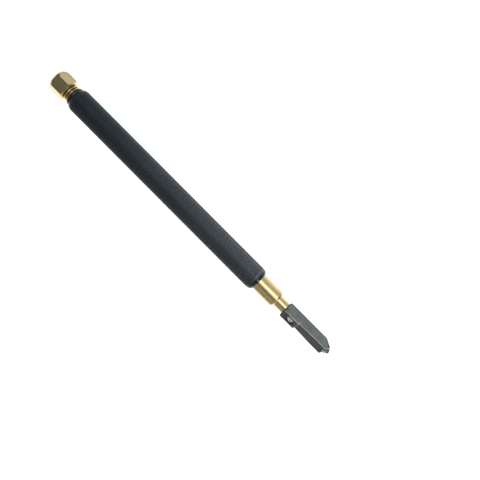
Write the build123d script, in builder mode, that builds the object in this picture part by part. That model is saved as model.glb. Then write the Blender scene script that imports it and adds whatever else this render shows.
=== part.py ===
"""Oil-fed pencil glass cutter: knurled barrel, screw cap, sprung swivel head and cutting wheel.

Millimetres.  The tool's long axis is the X axis, with the tip towards +X, and the origin is on
that axis in the middle of the tool's length.  The wheel's axle is parallel to Z, and the clamp
screw faces -Y.
"""

import os

from build123d import *

# ---------------------------------------------------------------- driving dimensions
# clearances and fits
thread_clearance = 0.05
running_clearance = 0.06
press_clearance = 0.01
face_gap = 0.02

# handle barrel
barrel_length = 117.1
barrel_radius = 5.7
barrel_rear_round_length = 2.3
barrel_front_round_length = 2.8
barrel_end_wall = 0.45
barrel_mouth_chamfer = 0.25
reservoir_step = 0.6
rear_thread_length = 10.0
front_thread_length = 10.0

# threads shared by the cap, the barrel and the nose
thread_radius = 4.0
thread_pitch = 1.25
thread_end_chamfer = 0.5

# end cap
cap_hex_length = 8.3
cap_hex_across_flats = 10.0
cap_dome_end_radius = 4.1
cap_dome_flat_length = 0.7
cap_dome_corner_length = 2.4
cap_inner_face_radius = 4.75
cap_inner_chamfer_length = 0.85
cap_hex_turn = -12.0
cap_neck_length = 2.5
cap_neck_root_step = 0.45
cap_ridge_height = 0.65
cap_ridge_width = 0.8
cap_plug_length = 7.8

# cap seal ring
ring_section = 1.7
ring_mouth_inset = 0.2

# nose piece
nose_length = 12.1
nose_shoulder_width = 0.25
nose_corner_length = 1.3
nose_corner_radius_drop = 0.95
nose_plug_length = 8.0
nose_seal_section = 1.2
nose_seal_seat = 0.45

# valve stem
neck_radius = 2.85
neck_exposed = 5.4
neck_engaged = 3.6
neck_edge_chamfer = 0.2
shaft_radius = 1.5
tang_radius = 1.6
tang_length = 8.6
tang_groove_radius = 1.15
tang_groove_width = 2.4
stem_oil_radius = 0.5
stem_cross_hole_radius = 0.4
stem_cross_hole_setback = 1.0
stem_travel = 0.9
stem_seal_section = 0.7
stem_seal_seat = 0.45

# valve spring, seal and nut
spring_chamber_length = 8.0
spring_wire_radius = 0.22
spring_mean_radius = 2.2
spring_turns = 4.0
valve_seal_radius = 2.7
valve_seal_thickness = 1.0
valve_nut_across_flats = 4.5
valve_nut_thickness = 1.3
shaft_stub = 0.5

# cutter head
head_length = 26.5
head_half_height = 2.95
head_back_y = 2.65
head_front_y = 2.5
head_boss_y = 3.2
head_boss_length = 8.6
head_runout_length = 0.9
head_back_slope_length = 3.8
head_front_slope_length = 1.4
head_rear_round = 0.8
head_edge_chamfer = 0.15
tang_bore_depth = 9.4
head_oil_radius = 0.75

# clamp screw
screw_setback = 4.9
screw_head_radius = 1.9
screw_head_thickness = 0.62
screw_head_recess = 0.08
screw_head_edge = 0.18
screw_seat_clearance = 0.22
screw_shank_radius = 0.95
screw_point_gap = 0.12
screw_slot_width = 0.55
screw_slot_length = 2.9
screw_slot_depth = 0.36

# cutting wheel and axle
wheel_radius = 2.45
wheel_thickness = 1.2
wheel_bevel_length = 0.75
wheel_edge_land = 0.1
wheel_side_clearance = 0.05
wheel_slot_clearance = 0.4
axle_radius = 0.45
axle_setback = 1.05
axle_offset_y = -0.2
axle_end_recess = 0.05

# wick
wick_radius = 0.62
wick_wheel_gap = 0.25
wick_tang_gap = 0.3

# ---------------------------------------------------------------- radii tied to the threads
barrel_end_radius = thread_radius + barrel_end_wall
reservoir_radius = thread_radius - reservoir_step
cap_neck_root_radius = thread_radius - cap_neck_root_step
cap_ridge_radius = cap_neck_root_radius + cap_ridge_height
ring_centre_radius = thread_radius - ring_mouth_inset
nose_radius = thread_radius + nose_shoulder_width

# ---------------------------------------------------------------- stations along X
wheel_projection = wheel_radius - axle_setback
total_length = (
    cap_hex_length
    + cap_neck_length
    + ring_section
    + barrel_length
    + nose_length
    + neck_exposed
    + head_length
    + wheel_projection
)
x_cap_end = -total_length / 2
x_hex_inner = x_cap_end + cap_hex_length
x_neck_inner = x_hex_inner + cap_neck_length
x_barrel_rear = x_neck_inner + ring_section
x_barrel_front = x_barrel_rear + barrel_length
x_nose_front = x_barrel_front + nose_length
x_head_rear = x_nose_front + neck_exposed
x_apex = x_head_rear + head_length
x_axle = x_apex - axle_setback
x_screw = x_head_rear + screw_setback

x_nose_rear = x_barrel_front - nose_plug_length
x_chamber_floor = x_nose_front - spring_chamber_length
x_neck_rear = x_nose_front - neck_engaged
x_valve_seal = x_nose_rear - valve_seal_thickness - face_gap
x_valve_nut = x_valve_seal - valve_nut_thickness
x_shaft_rear = x_valve_nut - shaft_stub
x_tang_front = x_head_rear + tang_length

# local x runs along the tool, local y is the distance above its axis
PROFILE = Plane.XZ


def across(x):
    """Plane square to the tool's axis at station x, facing the tip."""
    return Plane(origin=(x, 0, 0), x_dir=(0, 1, 0), z_dir=(1, 0, 0))


os.makedirs("parts", exist_ok=True)

# ---------------------------------------------------------------- handle barrel
with BuildPart() as handle_barrel:
    with BuildSketch(PROFILE):
        with BuildLine():
            Line((x_barrel_rear, 0), (x_barrel_rear, barrel_end_radius))
            EllipticalCenterArc(
                (x_barrel_rear + barrel_rear_round_length, barrel_end_radius),
                barrel_rear_round_length,
                barrel_radius - barrel_end_radius,
                90,
                arc_size=90,
            )
            Line(
                (x_barrel_rear + barrel_rear_round_length, barrel_radius),
                (x_barrel_front - barrel_front_round_length, barrel_radius),
            )
            EllipticalCenterArc(
                (x_barrel_front - barrel_front_round_length, barrel_end_radius),
                barrel_front_round_length,
                barrel_radius - barrel_end_radius,
                0,
                arc_size=90,
            )
            Line((x_barrel_front, barrel_end_radius), (x_barrel_front, 0))
            Line((x_barrel_front, 0), (x_barrel_rear, 0))
        make_face()
    revolve(axis=Axis.X)
    with BuildSketch(across(x_barrel_rear)):
        Circle(reservoir_radius)
    extrude(amount=barrel_length, mode=Mode.SUBTRACT)
    with BuildSketch(across(x_barrel_rear)):
        Circle(thread_radius)
    extrude(amount=rear_thread_length, mode=Mode.SUBTRACT)
    with BuildSketch(across(x_barrel_front)):
        Circle(thread_radius)
    extrude(amount=-front_thread_length, mode=Mode.SUBTRACT)
    mouths = (
        handle_barrel.edges()
        .filter_by(GeomType.CIRCLE)
        .filter_by(lambda edge: abs(edge.radius - thread_radius) < 1e-6)
        .sort_by(Axis.X)
    )
    chamfer([mouths[0], mouths[-1]], barrel_mouth_chamfer)
handle_barrel.part.label = "handle_barrel"

# ---------------------------------------------------------------- end cap
hex_corner_radius = cap_hex_across_flats / 2 / 0.8660254
plug_radius = thread_radius - thread_clearance
ring_seat_radius = ring_centre_radius - ring_section / 2
with BuildPart() as end_cap:
    with BuildSketch(across(x_cap_end)):
        RegularPolygon(cap_hex_across_flats / 2, 6, major_radius=False, rotation=cap_hex_turn)
    extrude(amount=cap_hex_length)
    with BuildSketch(PROFILE):
        with BuildLine():
            ThreePointArc(
                (x_cap_end, cap_dome_end_radius),
                (x_cap_end + cap_dome_flat_length, cap_hex_across_flats / 2),
                (x_cap_end + cap_dome_corner_length, hex_corner_radius),
            )
            Line(
                (x_cap_end + cap_dome_corner_length, hex_corner_radius),
                (x_hex_inner - cap_inner_chamfer_length, hex_corner_radius),
            )
            Line(
                (x_hex_inner - cap_inner_chamfer_length, hex_corner_radius),
                (x_hex_inner, cap_inner_face_radius),
            )
            Line((x_hex_inner, cap_inner_face_radius), (x_hex_inner, 0))
            Line((x_hex_inner, 0), (x_cap_end, 0))
            Line((x_cap_end, 0), (x_cap_end, cap_dome_end_radius))
        make_face()
    revolve(axis=Axis.X, mode=Mode.INTERSECT)
    with BuildSketch(across(x_hex_inner)):
        Circle(cap_neck_root_radius)
    extrude(amount=cap_neck_length)
    ridge_gap = (cap_neck_length - 2 * cap_ridge_width) / 2
    for start in (ridge_gap, 2 * ridge_gap + cap_ridge_width):
        x_ridge = x_hex_inner + start
        with BuildSketch(PROFILE):
            with BuildLine():
                Line((x_ridge, 0), (x_ridge, cap_neck_root_radius))
                EllipticalCenterArc(
                    (x_ridge + cap_ridge_width / 2, cap_neck_root_radius),
                    cap_ridge_width / 2,
                    cap_ridge_radius - cap_neck_root_radius,
                    0,
                    arc_size=180,
                )
                Line((x_ridge + cap_ridge_width, cap_neck_root_radius), (x_ridge + cap_ridge_width, 0))
                Line((x_ridge + cap_ridge_width, 0), (x_ridge, 0))
            make_face()
        revolve(axis=Axis.X)
    with BuildSketch(across(x_neck_inner)):
        Circle(ring_seat_radius - press_clearance)
    extrude(amount=ring_section)
    with BuildSketch(across(x_barrel_rear)):
        Circle(plug_radius)
    extrude(amount=cap_plug_length)
    chamfer(end_cap.edges().sort_by(Axis.X)[-1], thread_end_chamfer)
end_cap.part.label = "end_cap"

# ---------------------------------------------------------------- cap seal ring
with BuildPart() as cap_seal_ring:
    with BuildSketch(PROFILE):
        with Locations((x_neck_inner + ring_section / 2, ring_centre_radius)):
            Circle(ring_section / 2 - press_clearance)
    revolve(axis=Axis.X)
cap_seal_ring.part.label = "cap_seal_ring"

# ---------------------------------------------------------------- nose piece
nose_shoulder_radius = nose_radius - nose_corner_radius_drop
guide_radius = shaft_radius + running_clearance
chamber_radius = neck_radius + running_clearance
x_nose_seal = x_barrel_front - nose_seal_seat - nose_seal_section
with BuildPart() as nose_piece:
    with BuildSketch(PROFILE):
        with BuildLine():
            Line((x_nose_rear, 0), (x_nose_rear, plug_radius))
            Line((x_nose_rear, plug_radius), (x_barrel_front, plug_radius))
            Line((x_barrel_front, plug_radius), (x_barrel_front, nose_radius))
            Line((x_barrel_front, nose_radius), (x_nose_front - nose_corner_length, nose_radius))
            EllipticalCenterArc(
                (x_nose_front - nose_corner_length, nose_shoulder_radius),
                nose_corner_length,
                nose_corner_radius_drop,
                0,
                arc_size=90,
            )
            Line((x_nose_front, nose_shoulder_radius), (x_nose_front, 0))
            Line((x_nose_front, 0), (x_nose_rear, 0))
        make_face()
    revolve(axis=Axis.X)
    with BuildSketch(PROFILE):
        with Locations((x_nose_seal + nose_seal_section / 2, thread_radius)):
            Rectangle(nose_seal_section, 2 * nose_seal_section)
    revolve(axis=Axis.X, mode=Mode.SUBTRACT)
    with BuildSketch(across(x_nose_rear)):
        Circle(guide_radius)
    extrude(amount=nose_plug_length + nose_length, mode=Mode.SUBTRACT)
    with BuildSketch(across(x_nose_front)):
        Circle(chamber_radius)
    extrude(amount=-spring_chamber_length, mode=Mode.SUBTRACT)
nose_piece.part.label = "nose_piece"

# ---------------------------------------------------------------- nose seal ring
with BuildPart() as nose_seal_ring:
    with BuildSketch(PROFILE):
        with Locations((x_nose_seal + nose_seal_section / 2, thread_radius - nose_seal_section / 2)):
            Ellipse(nose_seal_section / 2 - face_gap, nose_seal_section / 2 - thread_clearance)
    revolve(axis=Axis.X)
nose_seal_ring.part.label = "nose_seal_ring"

# ---------------------------------------------------------------- valve stem
x_stem_seal = x_neck_rear + stem_seal_seat
stem_seal_inner = neck_radius - stem_seal_section + running_clearance
x_groove = x_screw - tang_groove_width / 2
with BuildPart() as valve_stem:
    with BuildSketch(PROFILE):
        with BuildLine():
            Polyline(
                (x_shaft_rear, 0),
                (x_shaft_rear, shaft_radius),
                (x_neck_rear, shaft_radius),
                (x_neck_rear, neck_radius - neck_edge_chamfer),
                (x_neck_rear + neck_edge_chamfer, neck_radius),
                (x_stem_seal, neck_radius),
                (x_stem_seal, stem_seal_inner),
                (x_stem_seal + stem_seal_section, stem_seal_inner),
                (x_stem_seal + stem_seal_section, neck_radius),
                (x_head_rear - face_gap, neck_radius),
                (x_head_rear - face_gap, tang_radius),
                (x_groove, tang_radius),
                (x_groove, tang_groove_radius),
                (x_groove + tang_groove_width, tang_groove_radius),
                (x_groove + tang_groove_width, tang_radius),
                (x_tang_front, tang_radius),
                (x_tang_front, 0),
                close=True,
            )
        make_face()
    revolve(axis=Axis.X)
    with BuildSketch(across(x_tang_front)):
        Circle(stem_oil_radius)
    extrude(amount=-(x_tang_front - x_neck_rear + stem_cross_hole_setback), mode=Mode.SUBTRACT)
    with BuildSketch(Plane.XY):
        with Locations((x_neck_rear - stem_cross_hole_setback, 0)):
            Circle(stem_cross_hole_radius)
    extrude(amount=shaft_radius, both=True, mode=Mode.SUBTRACT)
valve_stem.part.label = "valve_stem"

# ---------------------------------------------------------------- stem seal ring
with BuildPart() as stem_seal_ring:
    with BuildSketch(PROFILE):
        with Locations((x_stem_seal + stem_seal_section / 2, chamber_radius - stem_seal_section / 2)):
            Circle(stem_seal_section / 2 - face_gap)
    revolve(axis=Axis.X)
stem_seal_ring.part.label = "stem_seal_ring"

# ---------------------------------------------------------------- valve seal, nut and spring
with BuildPart() as valve_seal:
    with BuildSketch(across(x_valve_seal)):
        Circle(valve_seal_radius)
        Circle(shaft_radius + press_clearance, mode=Mode.SUBTRACT)
    extrude(amount=valve_seal_thickness)
valve_seal.part.label = "valve_seal"

with BuildPart() as valve_nut:
    with BuildSketch(across(x_valve_nut)):
        RegularPolygon(valve_nut_across_flats / 2, 6, major_radius=False)
        Circle(shaft_radius + press_clearance, mode=Mode.SUBTRACT)
    extrude(amount=valve_nut_thickness)
valve_nut.part.label = "valve_nut"

spring_length = x_neck_rear - x_chamber_floor - 2 * spring_wire_radius - 2 * face_gap
x_spring = x_chamber_floor + spring_wire_radius + face_gap
with BuildPart() as valve_spring:
    with BuildLine() as spring_path:
        Helix(
            pitch=spring_length / spring_turns,
            height=spring_length,
            radius=spring_mean_radius,
            center=(x_spring, 0, 0),
            direction=(1, 0, 0),
        )
    with BuildSketch(spring_path.line ^ 0):
        Circle(spring_wire_radius)
    sweep(path=spring_path.line, is_frenet=True)
valve_spring.part.label = "valve_spring"

# ---------------------------------------------------------------- cutter head
x_boss_end = x_head_rear + head_boss_length
x_runout_end = x_boss_end + head_runout_length
x_back_slope = x_apex - head_back_slope_length
x_front_slope = x_apex - head_front_slope_length
slot_half = wheel_thickness / 2 + wheel_side_clearance
slot_radius = wheel_radius + wheel_slot_clearance
screw_seat_radius = screw_head_radius + screw_seat_clearance
screw_seat_depth = screw_head_thickness + screw_head_recess
BOSS_FACE = Plane(origin=(x_screw, -head_boss_y, 0), x_dir=(1, 0, 0), z_dir=(0, -1, 0))
with BuildPart() as head_body:
    with BuildSketch(Plane.XY.offset(-head_half_height)):
        with BuildLine():
            Line((x_head_rear, head_back_y), (x_back_slope, head_back_y))
            Line((x_back_slope, head_back_y), (x_apex, 0))
            Line((x_apex, 0), (x_front_slope, -head_front_y))
            Line((x_front_slope, -head_front_y), (x_runout_end, -head_front_y))
            EllipticalCenterArc(
                (x_runout_end, -head_boss_y),
                head_runout_length,
                head_boss_y - head_front_y,
                90,
                arc_size=90,
            )
            Line((x_boss_end, -head_boss_y), (x_head_rear, -head_boss_y))
            Line((x_head_rear, -head_boss_y), (x_head_rear, head_back_y))
        make_face()
    extrude(amount=2 * head_half_height)
    rear_corners = head_body.edges().filter_by(Axis.Z).group_by(Axis.X)[0]
    fillet(rear_corners, head_rear_round)
    outlines = head_body.faces().filter_by(Axis.Z).edges()
    chamfer(outlines, head_edge_chamfer)
    # bore for the tang and the oil way to the wheel
    with BuildSketch(across(x_head_rear)):
        Circle(tang_radius + running_clearance)
    extrude(amount=tang_bore_depth, mode=Mode.SUBTRACT)
    with BuildSketch(across(x_head_rear + tang_bore_depth)):
        Circle(head_oil_radius)
    extrude(amount=x_axle - x_head_rear - tang_bore_depth, mode=Mode.SUBTRACT)
    # slot for the wheel, open at the tip
    with BuildSketch(Plane.XY.offset(-slot_half)):
        with Locations((x_axle, axle_offset_y)):
            Circle(slot_radius)
        with Locations((x_axle, axle_offset_y)):
            Rectangle(2 * slot_radius, 2 * slot_radius, align=(Align.MIN, Align.CENTER))
    extrude(amount=2 * slot_half, mode=Mode.SUBTRACT)
    with BuildSketch(Plane.XY.offset(-head_half_height)):
        with Locations((x_axle, axle_offset_y)):
            Circle(axle_radius + press_clearance)
    extrude(amount=2 * head_half_height, mode=Mode.SUBTRACT)
    # counterbored hole for the clamp screw
    with BuildSketch(BOSS_FACE):
        Circle(screw_seat_radius)
    extrude(amount=-screw_seat_depth, mode=Mode.SUBTRACT)
    with BuildSketch(BOSS_FACE):
        Circle(screw_shank_radius + thread_clearance)
    extrude(amount=-head_boss_y, mode=Mode.SUBTRACT)
head_body.part.label = "head_body"

# ---------------------------------------------------------------- clamp screw
y_screw_seat = -head_boss_y + screw_seat_depth
SCREW_SEAT = BOSS_FACE.offset(-screw_seat_depth)
screw_length = -y_screw_seat - tang_groove_radius - screw_point_gap
with BuildPart() as clamp_screw:
    with BuildSketch(SCREW_SEAT):
        Circle(screw_head_radius)
    extrude(amount=screw_head_thickness - face_gap)
    chamfer(clamp_screw.edges().sort_by(Axis.Y)[0], screw_head_edge)
    with BuildSketch(SCREW_SEAT):
        Circle(screw_shank_radius)
    extrude(amount=-screw_length)
    with BuildSketch(BOSS_FACE.offset(-screw_head_recess)):
        Rectangle(screw_slot_length, screw_slot_width)
        Rectangle(screw_slot_width, screw_slot_length)
    extrude(amount=-screw_slot_depth, mode=Mode.SUBTRACT)
clamp_screw.part.label = "clamp_screw"

# ---------------------------------------------------------------- cutting wheel and axle
with BuildPart() as cutting_wheel:
    with BuildSketch(Plane(origin=(x_axle, axle_offset_y, 0), x_dir=(1, 0, 0), z_dir=(0, -1, 0))):
        with BuildLine():
            Polyline(
                (axle_radius + running_clearance, -wheel_thickness / 2),
                (wheel_radius - wheel_bevel_length, -wheel_thickness / 2),
                (wheel_radius, -wheel_edge_land / 2),
                (wheel_radius, wheel_edge_land / 2),
                (wheel_radius - wheel_bevel_length, wheel_thickness / 2),
                (axle_radius + running_clearance, wheel_thickness / 2),
                close=True,
            )
        make_face()
    revolve(axis=Axis((x_axle, axle_offset_y, 0), (0, 0, 1)))
cutting_wheel.part.label = "cutting_wheel"

axle_half = head_half_height - axle_end_recess
with BuildPart() as wheel_axle:
    with BuildSketch(Plane.XY.offset(-axle_half)):
        with Locations((x_axle, axle_offset_y)):
            Circle(axle_radius)
    extrude(amount=2 * axle_half)
wheel_axle.part.label = "wheel_axle"

# ---------------------------------------------------------------- wick in the head's oil way
x_wick = x_tang_front + wick_tang_gap
x_slot_floor = x_axle - slot_radius
with BuildPart() as head_wick:
    with BuildSketch(across(x_wick)):
        Circle(wick_radius)
    extrude(amount=x_slot_floor + wick_wheel_gap / 2 - x_wick)
head_wick.part.label = "head_wick"

# ---------------------------------------------------------------- one file per piece
export_step(handle_barrel.part, "parts/handle_barrel.step")
export_step(end_cap.part, "parts/end_cap.step")
export_step(cap_seal_ring.part, "parts/cap_seal_ring.step")
export_step(nose_piece.part, "parts/nose_piece.step")
export_step(nose_seal_ring.part, "parts/nose_seal_ring.step")
export_step(valve_stem.part, "parts/valve_stem.step")
export_step(stem_seal_ring.part, "parts/stem_seal_ring.step")
export_step(valve_seal.part, "parts/valve_seal.step")
export_step(valve_nut.part, "parts/valve_nut.step")
export_step(valve_spring.part, "parts/valve_spring.step")
export_step(head_body.part, "parts/head_body.step")
export_step(clamp_screw.part, "parts/clamp_screw.step")
export_step(cutting_wheel.part, "parts/cutting_wheel.step")
export_step(wheel_axle.part, "parts/wheel_axle.step")
export_step(head_wick.part, "parts/head_wick.step")
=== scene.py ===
"""Oil-fed pencil glass cutter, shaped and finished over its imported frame.

The tool's long axis is the X axis, with the cutting wheel towards +X, its axle along Z and the clamp
screw on the -Y side.  Sizes are metres, written as millimetres times MM, and angles are degrees.
"""

import logging
import math
from dataclasses import dataclass
from enum import Enum
from typing import Any, Iterator, Optional, Sequence, Union

import bmesh
import bpy
from mathutils import Matrix, Vector


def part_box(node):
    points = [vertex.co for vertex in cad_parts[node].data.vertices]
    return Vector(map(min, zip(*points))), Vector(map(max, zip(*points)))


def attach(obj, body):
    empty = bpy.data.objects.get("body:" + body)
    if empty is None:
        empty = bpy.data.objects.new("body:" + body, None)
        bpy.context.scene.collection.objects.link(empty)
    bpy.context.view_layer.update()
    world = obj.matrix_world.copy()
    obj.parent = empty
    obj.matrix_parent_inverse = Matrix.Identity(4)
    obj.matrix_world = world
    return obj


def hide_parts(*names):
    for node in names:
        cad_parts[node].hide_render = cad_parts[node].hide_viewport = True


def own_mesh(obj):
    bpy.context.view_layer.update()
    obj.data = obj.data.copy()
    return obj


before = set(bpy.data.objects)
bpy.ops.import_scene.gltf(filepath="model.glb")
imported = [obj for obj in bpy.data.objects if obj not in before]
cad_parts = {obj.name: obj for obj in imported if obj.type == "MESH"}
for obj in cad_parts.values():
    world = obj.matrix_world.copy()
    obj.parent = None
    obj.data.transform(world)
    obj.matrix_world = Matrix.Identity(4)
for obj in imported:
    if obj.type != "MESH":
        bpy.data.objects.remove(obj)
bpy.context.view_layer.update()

log = logging.getLogger("glass_cutter")
MM = 0.001
Pair = tuple[float, float]
Triple = tuple[float, float, float]
Value = Union[float, tuple, "Wire"]

TOUCHING = 0.0005 * MM
HAIR = 0.002 * MM


class Body(Enum):
    """The moving bodies of the tool that pieces ride on."""

    BARREL = "barrel"
    CAP_RING = "cap_ring"
    CAP = "cap"
    STEM = "stem"
    HEAD = "head"
    SCREW = "screw"
    WHEEL = "wheel"


class Carve(Enum):
    """How one solid is cut by another."""

    KEEP_COMMON = "INTERSECT"
    CUT_AWAY = "DIFFERENCE"
    JOIN = "UNION"


# ---------------------------------------------------------------- shader wiring
class Wire:
    """One output socket of a node sheet, with arithmetic that adds Math nodes."""

    def __init__(self, sheet: "NodeSheet", socket: bpy.types.NodeSocket) -> None:
        """Wraps a socket."""
        self.sheet = sheet
        self.socket = socket

    def _math(self, operation: str, first: Value, second: Value) -> "Wire":
        """Adds a Math node."""
        return self.sheet.add("ShaderNodeMath", {"operation": operation}, {0: first, 1: second})

    def __add__(self, other: Value) -> "Wire":
        """Sum."""
        return self._math("ADD", self, other)

    __radd__ = __add__

    def __sub__(self, other: Value) -> "Wire":
        """Difference."""
        return self._math("SUBTRACT", self, other)

    def __rsub__(self, other: Value) -> "Wire":
        """Difference, reflected."""
        return self._math("SUBTRACT", other, self)

    def __mul__(self, other: Value) -> "Wire":
        """Product."""
        return self._math("MULTIPLY", self, other)

    __rmul__ = __mul__

    def __truediv__(self, other: Value) -> "Wire":
        """Quotient."""
        return self._math("DIVIDE", self, other)

    def __pow__(self, other: Value) -> "Wire":
        """Power."""
        return self._math("POWER", self, other)

    def ramp(self, low: float, high: float) -> "Wire":
        """Smooth step of this wire."""
        inputs = {"Value": self, "From Min": low, "From Max": high}
        return self.sheet.add("ShaderNodeMapRange", {"interpolation_type": "SMOOTHSTEP"}, inputs)


class NodeSheet:
    """The node tree of one material or world, written as calls and expressions."""

    def __init__(self, owner: Union[str, bpy.types.World]) -> None:
        """Starts an empty sheet.

        Args:
            owner: The name of a new material, or the world.
        """
        self.owner = bpy.data.materials.new(owner) if isinstance(owner, str) else owner
        self.owner.use_nodes = True
        self.tree = self.owner.node_tree
        self.tree.nodes.clear()

    def add(self, kind: str, settings: Optional[dict[str, Any]] = None,
            inputs: Optional[dict[Union[str, int], Value]] = None, output: Union[str, int] = 0) -> Wire:
        """Adds a node.

        Args:
            kind: The node's type.
            settings: Its settings, set before its sockets.  "stops" holds a ramp's stops.
            inputs: Values or wires by socket name or number.
            output: The output that is returned.

        Returns:
            The wire of that output.
        """
        node = self.tree.nodes.new(kind)
        for key, value in (settings or {}).items():
            if key == "stops":
                self._set_stops(node.color_ramp, value)
            else:
                setattr(node, key, value)
        for key, value in (inputs or {}).items():
            if isinstance(value, Wire):
                self.tree.links.new(value.socket, node.inputs[key])
            else:
                node.inputs[key].default_value = value
        return Wire(self, node.outputs[output] if len(node.outputs) else None)

    @staticmethod
    def _set_stops(ramp: bpy.types.ColorRamp, stops: Sequence[tuple[float, Triple]]) -> None:
        """Writes a colour ramp's stops.

        Args:
            ramp: The ramp.
            stops: Pairs of place and colour, lowest first.
        """
        while len(ramp.elements) < len(stops):
            ramp.elements.new(0.5)
        for element, (place, colour) in zip(ramp.elements, stops):
            element.position = place
            element.color = (*colour, 1.0)

    def place(self) -> Wire:
        """Object coordinates, in metres."""
        return self.add("ShaderNodeTexCoord", output="Object")

    def stretched(self, scale: Triple) -> Wire:
        """Object coordinates scaled along each axis."""
        return self.add("ShaderNodeMapping", {}, {"Vector": self.place(), "Scale": scale})

    def grain(self, vector: Wire, scale: float, detail: float = 3.0) -> Wire:
        """Soft noise."""
        return self.add("ShaderNodeTexNoise", {}, {"Vector": vector, "Scale": scale, "Detail": detail})

    def along(self) -> Wire:
        """Station along the tool, in metres."""
        return self.add("ShaderNodeSeparateXYZ", {}, {"Vector": self.place()}, "X")

    def radius(self) -> Wire:
        """Distance from the tool's long axis, in metres."""
        place = {"Vector": self.place()}
        across, up = (self.add("ShaderNodeSeparateXYZ", {}, place, axis) for axis in "YZ")
        return (across * across + up * up) ** 0.5

    def blend(self, factor: Wire, low: Union[Triple, Wire], high: Triple) -> Wire:
        """Mix of two colours."""
        first = low if isinstance(low, Wire) else (*low, 1.0)
        return self.add("ShaderNodeMix", {"data_type": "RGBA"}, {0: factor, 6: first, 7: (*high, 1.0)}, 2)

    def bump(self, height: Wire, depth: float) -> Wire:
        """Normal of a height."""
        return self.add("ShaderNodeBump", {}, {"Height": height, "Distance": depth, "Strength": 1.0})

    def finish(self, sockets: dict[str, Value]) -> bpy.types.Material:
        """Ends the sheet in one Principled shader.

        Args:
            sockets: Values or wires by socket name.

        Returns:
            The material.
        """
        shader = self.add("ShaderNodeBsdfPrincipled", {}, sockets)
        self.add("ShaderNodeOutputMaterial", {}, {"Surface": shader})
        return self.owner


# ---------------------------------------------------------------- finishes
@dataclass(frozen=True)
class KnurledBlack:
    """Black anodised metal whose worn knurl tips are lighter, and painted lighter still towards the front: a
    painted highlight for the light that falls more on the barrel's front.
    """

    deep: Triple = (0.006, 0.011, 0.016)
    # Worn tip colour with the painted front highlight at full strength.
    rubbed_and_lit: Triple = (0.078, 0.086, 0.098)
    rear_lit_share: float = 0.12
    past_front: float = 2.9 * MM
    shoulder_radius: float = 5.40 * MM
    groove_radius: float = 5.53 * MM
    tip_radius: float = 5.70 * MM
    cloud_scale: float = 90.0
    speckle_scale: float = 2600.0
    speckle_depth: float = 0.005 * MM
    clouding: float = 0.4
    roughness: float = 0.34
    cloud_rough: float = 0.10
    speckle_rough: float = 0.08
    shoulder_shine: float = 0.20
    gloss: float = 0.85
    gloss_tint: Triple = (0.80, 0.95, 1.0)

    def make(self) -> bpy.types.Material:
        """Builds the material."""
        sheet = NodeSheet("knurled_black")
        radius = sheet.radius()
        tips = radius.ramp(self.groove_radius, self.tip_radius)
        turned = 1.0 - radius.ramp(self.shoulder_radius, self.groove_radius)
        low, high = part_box("handle_barrel")
        # Painted highlight: the tips' lightening grows from the rear to the front, standing in for the
        # brighter light on the barrel's front.
        painted_front_light = sheet.along().ramp(low[0], high[0] + self.past_front)
        cloud = sheet.grain(sheet.place(), self.cloud_scale, 4.0)
        speckle = sheet.grain(sheet.place(), self.speckle_scale, 2.0)
        tip_wear_and_light = tips * (self.rear_lit_share + (1.0 - self.rear_lit_share) * painted_front_light)
        tip_wear_and_light = tip_wear_and_light * (1.0 - self.clouding + self.clouding * cloud)
        dull = self.roughness + self.cloud_rough * cloud + self.speckle_rough * speckle
        return sheet.finish({
            "Base Color": sheet.blend(tip_wear_and_light, self.deep, self.rubbed_and_lit),
            "Roughness": dull - self.shoulder_shine * turned,
            "Normal": sheet.bump(speckle, self.speckle_depth),
            "Specular IOR Level": self.gloss,
            "Specular Tint": (*self.gloss_tint, 1.0),
        })


@dataclass(frozen=True)
class TurnedBrass:
    """Lathe-turned brass with fine rings round the tool's axis and slight tarnish.

    The cap's recessed neck is painted darker, a painted shade for the shadow and the black barrel mirrored
    there.  The painted shade starts and ends at stations counted from the barrel's rear.
    """

    name: str = "turned_brass"
    neck_shade_colour: Triple = (0.16, 0.12, 0.055)
    neck_shade_radius: Pair = (3.60 * MM, 4.05 * MM)
    neck_shade_start: Pair = (-4.6 * MM, -4.0 * MM)
    neck_shade_end: Pair = (1.0 * MM, 2.0 * MM)
    bright: Triple = (0.90, 0.71, 0.37)
    tarnished: Triple = (0.70, 0.52, 0.25)
    ring_scale: float = 9000.0
    ring_stretch: float = 0.02
    ring_depth: float = 0.0025 * MM
    patch_scale: float = 260.0
    patch_band: Pair = (0.42, 0.78)
    patch_strength: float = 0.55
    smudge_scale: float = 900.0
    roughness: float = 0.20
    ring_rough: float = 0.10
    smudge_rough: float = 0.12
    neck_shade_rough: float = 0.15

    def make(self) -> bpy.types.Material:
        """Builds the material."""
        sheet = NodeSheet(self.name)
        rings = sheet.grain(sheet.stretched((1.0, self.ring_stretch, self.ring_stretch)), self.ring_scale)
        patches = sheet.grain(sheet.place(), self.patch_scale, 4.0)
        smudges = sheet.grain(sheet.place(), self.smudge_scale)
        tarnish = patches.ramp(*self.patch_band) * self.patch_strength
        along = sheet.along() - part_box("handle_barrel")[0][0]
        # Painted shade: the neck inside the ridges near the barrel's rear is darkened, standing in for shadow
        # and the black barrel mirrored there.
        painted_neck_shade = (1.0 - sheet.radius().ramp(*self.neck_shade_radius)) * along.ramp(*self.neck_shade_start)
        painted_neck_shade = painted_neck_shade * (1.0 - along.ramp(*self.neck_shade_end))
        clean = sheet.blend(tarnish, self.bright, self.tarnished)
        dull = self.roughness + self.ring_rough * rings + self.smudge_rough * smudges
        return sheet.finish({
            "Base Color": sheet.blend(painted_neck_shade, clean, self.neck_shade_colour),
            "Roughness": dull + self.neck_shade_rough * painted_neck_shade,
            "Normal": sheet.bump(rings, self.ring_depth),
            "Metallic": 1.0,
        })


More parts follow.
